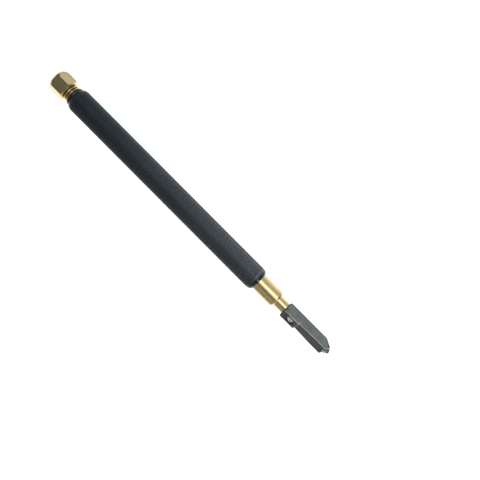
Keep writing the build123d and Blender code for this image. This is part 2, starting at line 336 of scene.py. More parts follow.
@dataclass(frozen=True)
class GunMetal:
    """Dark grey blackened steel of the cutter head, milled and tumbled."""

    dark: Triple = (0.080, 0.092, 0.088)
    light: Triple = (0.110, 0.122, 0.116)
    grain_scale: float = 5200.0
    grain_depth: float = 0.003 * MM
    milling_stretch: float = 0.05
    cloud_scale: float = 420.0
    cloud_band: Pair = (0.3, 0.7)
    roughness: float = 0.42
    cloud_rough: float = 0.10
    fine_rough: float = 0.08
    metallic: float = 0.25
    gloss: float = 0.45

    def make(self) -> bpy.types.Material:
        """Builds the material."""
        sheet = NodeSheet("gun_metal")
        milling = sheet.grain(sheet.stretched((self.milling_stretch, 1.0, 1.0)), self.grain_scale)
        cloud = sheet.grain(sheet.place(), self.cloud_scale, 4.0)
        fine = sheet.grain(sheet.place(), self.grain_scale, 2.0)
        return sheet.finish({
            "Base Color": sheet.blend(cloud.ramp(*self.cloud_band), self.dark, self.light),
            "Roughness": self.roughness + self.cloud_rough * cloud + self.fine_rough * fine,
            "Normal": sheet.bump(milling * 0.5 + fine * 0.5, self.grain_depth),
            "Metallic": self.metallic,
            "Specular IOR Level": self.gloss,
        })


@dataclass(frozen=True)
class BrightMetal:
    """Plain metal with fine scratches: plated screw, ground carbide, spring wire or dark pin."""

    name: str
    colour: Triple
    worn: Triple
    roughness: float
    metallic: float = 1.0
    scratch_scale: float = 4200.0
    scratch_stretch: float = 0.08
    scratch_rough: float = 0.08
    scratch_depth: float = 0.0015 * MM
    wear_scale: float = 700.0
    wear_band: Pair = (0.35, 0.75)

    def make(self) -> bpy.types.Material:
        """Builds the material."""
        sheet = NodeSheet(self.name)
        scratches = sheet.grain(sheet.stretched((1.0, 1.0, self.scratch_stretch)), self.scratch_scale)
        wear = sheet.grain(sheet.place(), self.wear_scale).ramp(*self.wear_band)
        return sheet.finish({
            "Base Color": sheet.blend(wear, self.colour, self.worn),
            "Roughness": self.roughness + self.scratch_rough * scratches,
            "Normal": sheet.bump(scratches, self.scratch_depth),
            "Metallic": self.metallic,
        })


@dataclass(frozen=True)
class SealRubber:
    """Black rubber with a faint oily shine."""

    deep: Triple = (0.008, 0.008, 0.009)
    dusty: Triple = (0.020, 0.020, 0.022)
    film_scale: float = 800.0
    pore_scale: float = 7000.0
    pore_depth: float = 0.003 * MM
    roughness: float = 0.30
    film_rough: float = 0.18
    gloss: float = 0.6

    def make(self) -> bpy.types.Material:
        """Builds the material."""
        sheet = NodeSheet("seal_rubber")
        film = sheet.grain(sheet.place(), self.film_scale)
        pores = sheet.grain(sheet.place(), self.pore_scale, 2.0)
        return sheet.finish({
            "Base Color": sheet.blend(film, self.deep, self.dusty),
            "Roughness": self.roughness + self.film_rough * film,
            "Normal": sheet.bump(pores, self.pore_depth),
            "Specular IOR Level": self.gloss,
        })


@dataclass(frozen=True)
class CottonWick:
    """Oil-soaked twisted cotton."""

    light: Triple = (0.62, 0.56, 0.42)
    dark: Triple = (0.36, 0.30, 0.20)
    thread_scale: float = 6000.0
    thread_stretch: float = 0.25
    thread_depth: float = 0.05 * MM
    roughness: float = 0.75
    thread_rough: float = 0.2

    def make(self) -> bpy.types.Material:
        """Builds the material."""
        sheet = NodeSheet("cotton_wick")
        threads = sheet.grain(sheet.stretched((self.thread_stretch, 1.0, 1.0)), self.thread_scale, 4.0)
        return sheet.finish({
            "Base Color": sheet.blend(threads, self.dark, self.light),
            "Roughness": self.roughness + self.thread_rough * threads,
            "Normal": sheet.bump(threads, self.thread_depth),
        })


@dataclass(frozen=True)
class PaleFloor:
    """Matte pale board, lit from beneath like a light table."""

    colour: Triple = (0.45, 0.452, 0.455)
    roughness: float = 0.9
    gloss: float = 0.1
    glow_colour: Triple = (1.0, 1.0, 1.0)
    glow: float = 0.62

    def make(self) -> bpy.types.Material:
        """Builds the material."""
        return NodeSheet("pale_floor").finish({
            "Base Color": (*self.colour, 1.0),
            "Roughness": self.roughness,
            "Specular IOR Level": self.gloss,
            "Emission Color": (*self.glow_colour, 1.0),
            "Emission Strength": self.glow,
        })


# ---------------------------------------------------------------- shaping helpers
def quarter(steps: int, first: int = 1) -> Iterator[Pair]:
    """Gives sine and cosine at even steps of a quarter turn.

    Args:
        steps: Steps of the quarter turn.
        first: The first step that is given.

    Yields:
        Pairs of sine and cosine.
    """
    for step in range(first, steps + 1):
        angle = math.pi / 2.0 * step / steps
        yield math.sin(angle), math.cos(angle)


def axes(first: Vector, second: Vector, third: Vector) -> Matrix:
    """Turn that brings X, Y and Z onto three directions."""
    return Matrix((first, second, third)).transposed().to_4x4()


def trim(bm: bmesh.types.BMesh, point: Triple, outward: Triple, near: float) -> None:
    """Cuts a mesh off beyond a plane."""
    bmesh.ops.bisect_plane(bm, geom=bm.verts[:] + bm.edges[:] + bm.faces[:], dist=near, plane_co=point,
                           plane_no=outward, clear_outer=True)


def fill_holes(bm: bmesh.types.BMesh) -> None:
    """Closes a mesh's open rims with faces."""
    bmesh.ops.holes_fill(bm, edges=[edge for edge in bm.edges if edge.is_boundary], sides=0)


def smooth(piece: bpy.types.Object) -> None:
    """Shades all of a piece's faces smooth."""
    piece.data.polygons.foreach_set("use_smooth", [True] * len(piece.data.polygons))


def lathe(bm: bmesh.types.BMesh, outline: Sequence[Pair], steps: int = 96, axis: Triple = (1.0, 0.0, 0.0),
          centre: Triple = (0.0, 0.0, 0.0), closed: bool = True) -> None:
    """Turns an outline into a solid of revolution.

    Args:
        bm: The mesh that receives it.
        outline: Pairs of place along the axis and distance from it.
        steps: Steps of a full turn.
        axis: X or Z, the axis of revolution.
        centre: A point that the places are counted from.
        closed: Whether the outline's last point joins its first.
    """
    along = Vector(axis)
    outward = Vector((0.0, 1.0, 0.0))
    verts = [bm.verts.new(Vector(centre) + along * place + outward * radius) for place, radius in outline]
    pairs = list(zip(verts, verts[1:])) + ([(verts[-1], verts[0])] if closed else [])
    edges = [bm.edges.new(pair) for pair in pairs]
    bmesh.ops.spin(bm, geom=verts + edges, cent=centre, axis=axis, dvec=(0.0, 0.0, 0.0),
                   angle=2.0 * math.pi, steps=steps, use_merge=True, use_duplicate=False)


def add_block(bm: bmesh.types.BMesh, low: Triple, high: Triple) -> None:
    """Adds a box between two corners.

    Args:
        bm: The mesh that receives it.
        low: The lowest corner.
        high: The highest corner.
    """
    size = Vector(high) - Vector(low)
    middle = (Vector(high) + Vector(low)) / 2.0
    matrix = Matrix.Translation(middle) @ Matrix.Diagonal((*size, 1.0))
    bmesh.ops.create_cube(bm, size=1.0, matrix=matrix)


def add_rod(bm: bmesh.types.BMesh, start: Triple, end: Triple, radius: float, segments: int) -> None:
    """Adds a round rod between two points.

    Args:
        bm: The mesh that receives it.
        start: The middle of its first end.
        end: The middle of its last end.
        radius: Its radius.
        segments: Sides of its section.
    """
    run = Vector(end) - Vector(start)
    turn = Vector((0.0, 0.0, 1.0)).rotation_difference(run).to_matrix().to_4x4()
    matrix = Matrix.Translation((Vector(start) + Vector(end)) / 2.0) @ turn
    bmesh.ops.create_cone(bm, cap_ends=True, cap_tris=False, segments=segments, radius1=radius,
                          radius2=radius, depth=run.length, matrix=matrix)


def as_object(bm: bmesh.types.BMesh, name: str) -> bpy.types.Object:
    """Turns a finished mesh into an object at the origin.

    Args:
        bm: The mesh, which is freed.
        name: The object's name.

    Returns:
        The object.
    """
    bmesh.ops.remove_doubles(bm, verts=bm.verts, dist=TOUCHING)
    bmesh.ops.recalc_face_normals(bm, faces=bm.faces)
    mesh = bpy.data.meshes.new(name)
    bm.to_mesh(mesh)
    bm.free()
    piece = bpy.data.objects.new(name, mesh)
    bpy.context.scene.collection.objects.link(piece)
    return piece


def bake(piece: bpy.types.Object) -> None:
    """Turns a piece's modifiers into mesh and merges what they leave closer than a hair."""
    bpy.context.view_layer.update()
    seen = piece.evaluated_get(bpy.context.evaluated_depsgraph_get())
    result = bpy.data.meshes.new_from_object(seen)
    result.name = piece.name
    bm = bmesh.new()
    bm.from_mesh(result)
    bmesh.ops.remove_doubles(bm, verts=bm.verts, dist=HAIR)
    bmesh.ops.dissolve_degenerate(bm, edges=bm.edges, dist=HAIR)
    fill_holes(bm)
    bmesh.ops.recalc_face_normals(bm, faces=bm.faces)
    bm.to_mesh(result)
    bm.free()
    piece.modifiers.clear()
    piece.data = result


def carve(piece: bpy.types.Object, tool: bmesh.types.BMesh, how: Carve) -> None:
    """Cuts a piece by another solid and keeps the result as its mesh.

    Args:
        piece: The piece.
        tool: The other solid, which is used up.
        how: What is kept.
    """
    cutter = as_object(tool, "cutter")
    modifier = piece.modifiers.new("carve", "BOOLEAN")
    modifier.operation = how.value
    modifier.solver = "EXACT"
    modifier.object = cutter
    bake(piece)
    bpy.data.objects.remove(cutter)


def soften(piece: bpy.types.Object, width: float, segments: int, angle: float, edge_slot: int = -1,
           clamp: bool = True) -> None:
    """Rounds a piece's sharp edges and shades it smooth.

    Args:
        piece: The piece.
        width: The rounding's width.
        segments: Its segments.
        angle: Edges sharper than this many degrees are rounded.
        edge_slot: The material slot of the roundings, or -1 for their neighbours'.
        clamp: Whether short edges keep the roundings narrow.
    """
    smooth(piece)
    modifier = piece.modifiers.new("soft_edges", "BEVEL")
    modifier.width = width
    modifier.segments = segments
    modifier.profile = 0.5
    modifier.limit_method = "ANGLE"
    modifier.angle_limit = math.radians(angle)
    modifier.harden_normals = True
    modifier.material = edge_slot
    modifier.use_clamp_overlap = clamp


def settle(piece: bpy.types.Object, body: Body, slot: str, material: Optional[bpy.types.Material],
           *nodes: str) -> None:
    """Gives a piece its finish, its body and the frame nodes it stands for.

    Args:
        piece: The piece.
        body: The body it rides on.
        slot: The record's material slot; not used.
        material: Its finish, or None where the piece has it already.
        nodes: The frame nodes that it replaces.
    """
    if material:
        piece.data.materials.append(material)
    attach(piece, body.value)
    if nodes:
        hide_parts(*nodes)
    log.info("%s: %d faces on %s", piece.name, len(piece.data.polygons), body.value)


def dress(name: str, material: bpy.types.Material) -> None:
    """Gives a frame node a finish.

    Args:
        name: The node.
        material: The finish.
    """
    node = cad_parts[name]
    node.data.materials.clear()
    node.data.materials.append(material)
    log.info("%s: dressed", name)


def middle_of(node: str) -> Vector:
    """Middle of a frame node's box."""
    low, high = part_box(node)
    return (Vector(low) + Vector(high)) / 2.0


# ---------------------------------------------------------------- barrel
@dataclass
class KnurledBarrel:
    """The oil-filled handle: a bored tube with a diamond knurl between smooth round shoulders."""

    finish: bpy.types.Material
    radius: float = 5.70 * MM
    rim_drop: float = 0.03 * MM
    rim_flat: float = 0.10 * MM
    knurl_depth: float = 0.17 * MM
    flat_inset: float = 0.12 * MM
    around: int = 42
    slant_degrees: float = 40.0
    crease_degrees: float = 28.0
    seam: float = 0.01 * MM
    rim_reach: float = 0.05 * MM
    rear_shoulder: float = 2.3 * MM
    front_shoulder: float = 2.8 * MM
    end_radius: float = 4.45 * MM
    bore_radius: float = 3.4 * MM
    mouth_radius: float = 4.0 * MM
    mouth_depth: float = 10.0 * MM
    mouth_chamfer: float = 0.25 * MM

    def build(self) -> None:
        """Builds the barrel and dresses it."""
        low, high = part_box("handle_barrel")
        start, end = low[0] + self.rear_shoulder, high[0] - self.front_shoulder
        bm = self._knurled_sleeve(start, end)
        self._grow_end(bm, start, -1.0, self._end_outline(self.rear_shoulder))
        self._grow_end(bm, end, 1.0, self._end_outline(self.front_shoulder))
        bmesh.ops.bridge_loops(bm, edges=[edge for edge in bm.edges if edge.is_boundary])
        piece = as_object(bm, "knurled_barrel")
        smooth(piece)
        piece.data.set_sharp_from_angle(angle=math.radians(self.crease_degrees))
        settle(piece, Body.BARREL, "black_metal", self.finish, "handle_barrel")

    def _knurled_sleeve(self, start: float, end: float) -> bmesh.types.BMesh:
        """Rolls a sheet of raised diamonds into a sleeve.

        Args:
            start: The sleeve's rear station.
            end: Its front station.

        Returns:
            The open sleeve.
        """
        base = self.radius - self.knurl_depth
        girth = 2.0 * math.pi * base
        across = girth / self.around
        rows = round((end - start) / (across / math.tan(math.radians(self.slant_degrees))))
        if (rows + self.around) % 2:
            rows += 1
        pitch = (end - start) / rows
        cells = rows + self.around + 2
        bm = bmesh.new()
        bmesh.ops.create_grid(bm, x_segments=cells, y_segments=cells, size=cells / 2.0)
        turn = Matrix.Rotation(math.pi / 4.0, 4, "Z")
        scale = Matrix.Diagonal((pitch / math.sqrt(2.0), across / math.sqrt(2.0), 1.0, 1.0))
        shift = Matrix.Translation((start + (end - start) / 2.0, girth / 2.0, 0.0))
        bmesh.ops.transform(bm, matrix=shift @ scale @ turn, verts=bm.verts)
        for point, normal in (((start, 0, 0), (-1, 0, 0)), ((end, 0, 0), (1, 0, 0)),
                              ((0, 0, 0), (0, -1, 0)), ((0, girth, 0), (0, 1, 0))):
            trim(bm, point, normal, HAIR)
        for vert in bm.verts:
            angle = vert.co.y / base
            vert.co = Vector((vert.co.x, base * math.cos(angle), base * math.sin(angle)))
        bmesh.ops.remove_doubles(bm, verts=bm.verts, dist=self.seam)
        split = [edge for edge in bm.edges
                 if all(abs(vert.co.z) < self.seam and vert.co.y > 0 for vert in edge.verts)]
        bmesh.ops.dissolve_edges(bm, edges=split, use_verts=False)
        bmesh.ops.recalc_face_normals(bm, faces=bm.faces)
        bmesh.ops.inset_individual(bm, faces=bm.faces, thickness=self.flat_inset, depth=self.knurl_depth,
                                   use_even_offset=True)
        return bm

    def _end_outline(self, shoulder: float) -> list[Pair]:
        """Outline from the knurl over a shoulder and into the mouth.

        Args:
            shoulder: The shoulder's length.

        Returns:
            Pairs of distance past the knurl and radius.
        """
        rim = self.radius - self.rim_drop
        outline = [(self.rim_flat + (shoulder - self.rim_flat) * sine,
                    self.end_radius + (rim - self.end_radius) * cosine) for sine, cosine in quarter(8, 0)]
        return outline + [(shoulder, self.mouth_radius + self.mouth_chamfer),
                          (shoulder - self.mouth_chamfer, self.mouth_radius),
                          (shoulder - self.mouth_depth, self.mouth_radius),
                          (shoulder - self.mouth_depth, self.bore_radius)]

    def _grow_end(self, bm: bmesh.types.BMesh, station: float, way: float, outline: Sequence[Pair]) -> None:
        """Draws the sleeve's open rim out along an outline.

        Args:
            bm: The sleeve.
            station: Where the knurl ends.
            way: 1 towards the tip, -1 away from it.
            outline: Pairs of distance past the knurl and radius.
        """
        rim = [edge for edge in bm.edges
               if edge.is_boundary and all(abs(vert.co.x - station) < self.rim_reach for vert in edge.verts)]
        for past, radius in outline:
            grown = bmesh.ops.extrude_edge_only(bm, edges=rim)["geom"]
            rim = [part for part in grown if isinstance(part, bmesh.types.BMEdge) and part.is_boundary]
            for vert in {vert for edge in rim for vert in edge.verts}:
                flat = Vector((0.0, vert.co.y, vert.co.z)).normalized() * radius
                vert.co = Vector((station + way * past, flat.y, flat.z))


# ---------------------------------------------------------------- cap
@dataclass
class ScrewCap:
    """The brass filler cap: domed hexagon, ridged neck, threaded plug and seal ring."""

    brass: bpy.types.Material
    rubber: bpy.types.Material
    hex_length: float = 8.3 * MM
    across_flats: float = 10.0 * MM
    hex_turn: float = -12.0
    dome: tuple[Pair, ...] = ((0.0, 0.0), (0.0, 4.1), (0.12, 4.50), (0.35, 4.78), (0.7, 5.0), (1.1, 5.25),
                              (1.6, 5.50), (2.4, 5.80))
    dome_end: float = 2.7 * MM
    turning_room: float = 0.2 * MM
    inner_chamfer: float = 0.9775 * MM
    inner_radius: float = 4.75 * MM
    neck_length: float = 2.5 * MM
    neck_root: float = 3.55 * MM
    ridge_radius: float = 4.2 * MM
    ridges: int = 2
    ridge_width: float = 0.8 * MM
    neck_overlap: float = 0.6 * MM
    seat_radius: float = 2.94 * MM
    seat_overlap: float = 0.3 * MM
    ring_section: float = 1.7 * MM
    ring_centre: float = 3.8 * MM
    ring_play: float = 0.01 * MM
    ring_sides: int = 28
    plug_length: float = 7.8 * MM
    thread_root: float = 3.35 * MM
    thread_crest: float = 3.94 * MM
    thread_pitch: float = 1.25 * MM
    thread_shape: tuple[Pair, ...] = ((0.0, 0.0), (0.12, 0.0), (0.44, 1.0), (0.68, 1.0))
    thread_steps: int = 72
    spare_turns: float = 1.5

    def build(self) -> None:
        """Builds the cap and its ring and dresses them."""
        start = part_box("end_cap")[0][0]
        self._cap(start)
        self._ring(start + self.hex_length + self.neck_length)

    def _cap(self, start: float) -> None:
        """Builds the cap.

        Args:
            start: The station of its outer end.
        """
        corner = self.across_flats / 2.0 / math.cos(math.pi / 6.0)
        bm = bmesh.new()
        turn = Matrix.Rotation(math.radians(self.hex_turn), 4, "X") @ Matrix.Rotation(math.pi / 2.0, 4, "Y")
        matrix = Matrix.Translation((start + self.hex_length / 2.0, 0, 0)) @ turn
        bmesh.ops.create_cone(bm, cap_ends=True, cap_tris=False, segments=6, radius1=corner, radius2=corner,
                              depth=self.hex_length, matrix=matrix)
        piece = as_object(bm, "brass_cap")
        dome = bmesh.new()
        lathe(dome, self._dome_outline(start, corner), steps=128)
        carve(piece, dome, Carve.KEEP_COMMON)
        neck = bmesh.new()
        lathe(neck, self._neck_outline(start + self.hex_length))
        carve(piece, neck, Carve.JOIN)
        carve(piece, self._thread(start), Carve.JOIN)
        soften(piece, width=0.10 * MM, segments=3, angle=30.0)
        settle(piece, Body.CAP, "brass", self.brass, "end_cap")

    def _dome_outline(self, start: float, corner: float) -> list[Pair]:
        """Outline of the turned shape that trims the hexagon.

        Args:
            start: The station of the outer end.
            corner: The hexagon's corner radius.

        Returns:
            Pairs of station and radius.
        """
        outer = corner + self.turning_room
        end = start + self.hex_length
        outline = [(start + place * MM, radius * MM) for place, radius in self.dome]
        return outline + [(start + self.dome_end, outer), (end - self.inner_chamfer, outer),
                          (end, self.inner_radius), (end, 0.0)]

    def _neck_outline(self, start: float) -> list[Pair]:
        """Outline of the ridged neck and the ring's seat.

        Args:
            start: The station of the hexagon's inner face.

        Returns:
            Pairs of station and radius.
        """
        inside = start - self.neck_overlap
        outline = [(inside, 0.0), (inside, self.neck_root), (start, self.neck_root)]
        gap = self.neck_length / self.ridges - self.ridge_width
        for ridge in range(self.ridges):
            middle = start + gap * (ridge + 1) + self.ridge_width * (ridge + 0.5)
            for step in range(9):
                angle = math.pi * step / 8.0
                outline.append((middle - self.ridge_width / 2.0 * math.cos(angle),
                                self.neck_root + (self.ridge_radius - self.neck_root) * math.sin(angle)))
        end = start + self.neck_length
        seat_end = end + self.ring_section + self.seat_overlap
        return outline + [(end + 2.0 * HAIR, self.seat_radius), (seat_end, self.seat_radius), (seat_end, 0.0)]

    def _thread(self, start: float) -> bmesh.types.BMesh:
        """Cuts the plug's helical thread.

        Args:
            start: The station of the cap's outer end.

        Returns:
            The threaded plug as a closed solid.
        """
        near = start + self.hex_length + self.neck_length + self.ring_section
        far = near + self.plug_length
        turns = math.ceil(self.plug_length / self.thread_pitch) + round(2.0 * self.spare_turns)
        first = near - self.spare_turns * self.thread_pitch
        bm = bmesh.new()
        rise = self.thread_crest - self.thread_root
        points = [((turn + part) * self.thread_pitch, self.thread_root + rise * level)
                  for turn in range(turns) for part, level in self.thread_shape]
        verts = [bm.verts.new((first + place, radius, 0.0)) for place, radius in points]
        edges = [bm.edges.new(pair) for pair in zip(verts, verts[1:])]
        bmesh.ops.spin(bm, geom=verts + edges, cent=(0, 0, 0), axis=(1, 0, 0),
                       dvec=(self.thread_pitch / self.thread_steps, 0, 0), angle=2.0 * math.pi,
                       steps=self.thread_steps, use_merge=False, use_duplicate=False)
        bmesh.ops.remove_doubles(bm, verts=bm.verts, dist=HAIR)
        trim(bm, (near, 0.0, 0.0), (-1.0, 0.0, 0.0), TOUCHING)
        trim(bm, (far, 0.0, 0.0), (1.0, 0.0, 0.0), TOUCHING)
        fill_holes(bm)
        return bm

    def _ring(self, start: float) -> None:
        """Builds the seal ring.

        Args:
            start: The station where the ring begins.
        """
        bm = bmesh.new()
        radius = self.ring_section / 2.0 - self.ring_play
        angles = [2.0 * math.pi * step / self.ring_sides for step in range(self.ring_sides)]
        lathe(bm, [(start + self.ring_section / 2.0 + radius * math.cos(angle),
                    self.ring_centre + radius * math.sin(angle)) for angle in angles])
        piece = as_object(bm, "cap_ring")
        smooth(piece)
        settle(piece, Body.CAP_RING, "black_rubber", self.rubber, "cap_seal_ring")


# ---------------------------------------------------------------- nose and valve
@dataclass
class NoseAndValve:
    """The brass nose, the sliding stem that opens the oil valve, and what is inside them."""

    brass: bpy.types.Material
    rubber: bpy.types.Material
    spring_wire: bpy.types.Material
    nose_radius: float = 4.25 * MM
    nose_edge: float = 0.12 * MM
    nose_step: float = 0.01 * MM
    corner_length: float = 1.3 * MM
    corner_drop: float = 0.95 * MM
    plug_radius: float = 3.93 * MM
    plug_chamfer: float = 0.4 * MM
    bore_radius: float = 2.91 * MM
    bore_depth: float = 8.0 * MM
    bore_edge: float = 0.10 * MM
    throat_radius: float = 1.57 * MM
    spring_wire_radius: float = 0.22 * MM
    spring_turns: int = 4
    turn_steps: int = 40
    press_travel: float = 0.9 * MM
    shaft_radius: float = 1.49 * MM
    neck_radius: float = 2.85 * MM
    neck_engaged: float = 3.6 * MM
    neck_edge: float = 0.2 * MM
    neck_front: Pair = (0.35 * MM, 0.30 * MM)
    clearance: float = 0.02 * MM
    groove_depth: float = 0.65 * MM
    tang_radius: float = 1.59 * MM
    waist_radius: float = 1.15 * MM
    waist_half: float = 1.2 * MM
    oil_radius: float = 0.5 * MM
    oil_depth: float = 7.0 * MM
    drill_point: float = 0.4 * MM

    def build(self) -> None:
        """Builds the visible brass and dresses the hidden pieces."""
        self._nose()
        self._stem()
        for name in ("nose_seal_ring", "stem_seal_ring", "valve_seal"):
            dress(name, self.rubber)
        dress("valve_nut", self.brass)
        self._spring()

    def _nose(self) -> None:
        """Builds the nose."""
        (rear, _, _), (front, _, _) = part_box("nose_piece")
        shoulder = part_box("handle_barrel")[1][0]
        step_end = shoulder + self.nose_step
        lip = self.nose_radius - self.corner_drop
        corner = front - self.corner_length
        floor = front - self.bore_depth
        outline = [(rear, self.plug_radius - self.plug_chamfer), (rear + self.plug_chamfer, self.plug_radius),
                   (shoulder, self.plug_radius), (step_end, self.nose_radius - self.nose_edge),
                   (step_end + self.nose_edge, self.nose_radius)]
        outline += [(corner + self.corner_length * sine, lip + self.corner_drop * cosine)
                    for sine, cosine in quarter(8, 0)]
        outline += [(front, self.bore_radius + self.bore_edge), (front - self.bore_edge, self.bore_radius),
                    (floor, self.bore_radius), (floor, self.throat_radius), (rear, self.throat_radius)]
        bm = bmesh.new()
        lathe(bm, outline, steps=112)
        piece = as_object(bm, "brass_nose")
        soften(piece, width=0.06 * MM, segments=2, angle=40.0)
        settle(piece, Body.BARREL, "brass", self.brass, "nose_piece")

    def _spring(self) -> None:
        """Coils the valve spring at its full length; nothing here makes it shorten as the head is pressed in.
        """
        low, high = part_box("valve_spring")
        wire = self.spring_wire_radius
        run = high[0] - low[0] - 2.0 * wire
        steps = self.turn_steps * self.spring_turns
        start = Vector((low[0] + wire, high[1] - wire, 0.0))
        bm = bmesh.new()
        ring = bmesh.ops.create_circle(bm, cap_ends=True, segments=12, radius=wire,
                                       matrix=Matrix.Translation(start))["verts"]
        section = ring + bm.edges[:] + bm.faces[:]
        bmesh.ops.spin(bm, geom=section, cent=(0, 0, 0), axis=(1, 0, 0), dvec=(run / steps, 0, 0),
                       angle=2.0 * math.pi * self.spring_turns, steps=steps, use_merge=False,
                       use_duplicate=False)
        piece = as_object(bm, "coiled_spring")
        smooth(piece)
        settle(piece, Body.BARREL, "spring_steel", self.spring_wire, "valve_spring")
        keep = 1.0 - self.press_travel / (high[0] - low[0])
        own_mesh(piece)

    def _stem(self) -> None:
        """Builds the sliding stem."""
        (rear, _, _), (front, _, _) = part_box("valve_stem")
        (seal_start, _, _), (seal_end, _, _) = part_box("stem_seal_ring")
        neck_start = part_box("nose_piece")[1][0] - self.neck_engaged
        neck_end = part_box("head_body")[0][0] - self.clearance
        groove_start, groove_end = seal_start - self.clearance, seal_end + self.clearance
        groove_floor = self.neck_radius - self.groove_depth
        screw = middle_of("clamp_screw").x
        waist_start, waist_end = screw - self.waist_half, screw + self.waist_half
        oil_end = neck_end - self.oil_depth
        outline = [(rear, 0.0), (rear, self.shaft_radius), (neck_start, self.shaft_radius),
                   (neck_start, self.neck_radius - self.neck_edge),
                   (neck_start + self.neck_edge, self.neck_radius), (groove_start, self.neck_radius),
                   (groove_start, groove_floor), (groove_end, groove_floor), (groove_end, self.neck_radius),
                   (neck_end - self.neck_front[0], self.neck_radius),
                   (neck_end, self.neck_radius - self.neck_front[1]), (neck_end, self.tang_radius),
                   (waist_start, self.tang_radius), (waist_start, self.waist_radius),
                   (waist_end, self.waist_radius), (waist_end, self.tang_radius),
                   (front - self.neck_edge, self.tang_radius), (front, self.tang_radius - self.neck_edge),
                   (front, self.oil_radius), (oil_end, self.oil_radius), (oil_end - self.drill_point, 0.0)]
        bm = bmesh.new()
        lathe(bm, outline, closed=False)
        piece = as_object(bm, "brass_stem")
        soften(piece, width=0.05 * MM, segments=2, angle=40.0)
        settle(piece, Body.STEM, "brass", self.brass, "valve_stem")


